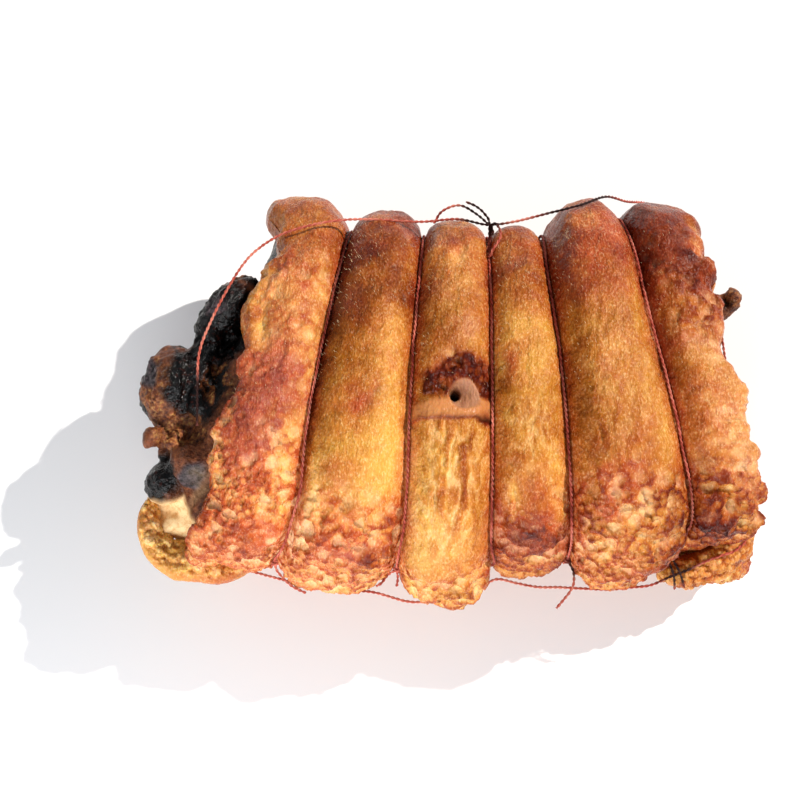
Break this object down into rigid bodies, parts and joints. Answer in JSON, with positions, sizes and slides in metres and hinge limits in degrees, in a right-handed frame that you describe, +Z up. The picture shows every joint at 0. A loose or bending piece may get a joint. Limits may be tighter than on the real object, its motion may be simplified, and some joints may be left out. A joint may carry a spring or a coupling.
{
  "type": "porchetta",
  "caption": "Rolled and tied roast of pork belly with puffed crackling, lying on its flattened underside with its charred meat showing at one end.",
  "frame": {"origin": "middle of the underside, on the surface the roast lies on", "axes": "+Z up, +X along the roll towards the end where the skin closes over the meat, -Y towards the seam where the two skin edges meet"},
  "size_m": [0.2958, 0.1992, 0.1275],
  "materials": {
    "crackling": "puffed, blistered and slightly greasy roast skin, golden to red-brown",
    "charred_meat": "roast meat, burnt black and glossy in places, with pale fat low at one end",
    "twine": "two-ply kitchen twine stained dark by roasting"
  },
  "bodies": {
    "root": {"skin": "crackling", "meat": "charred_meat", "tie_1": "twine", "tie_2": "twine", "tie_3": "twine", "tie_4": "twine", "tie_5": "twine", "long_twine": "twine"}
  },
  "joints": []
}
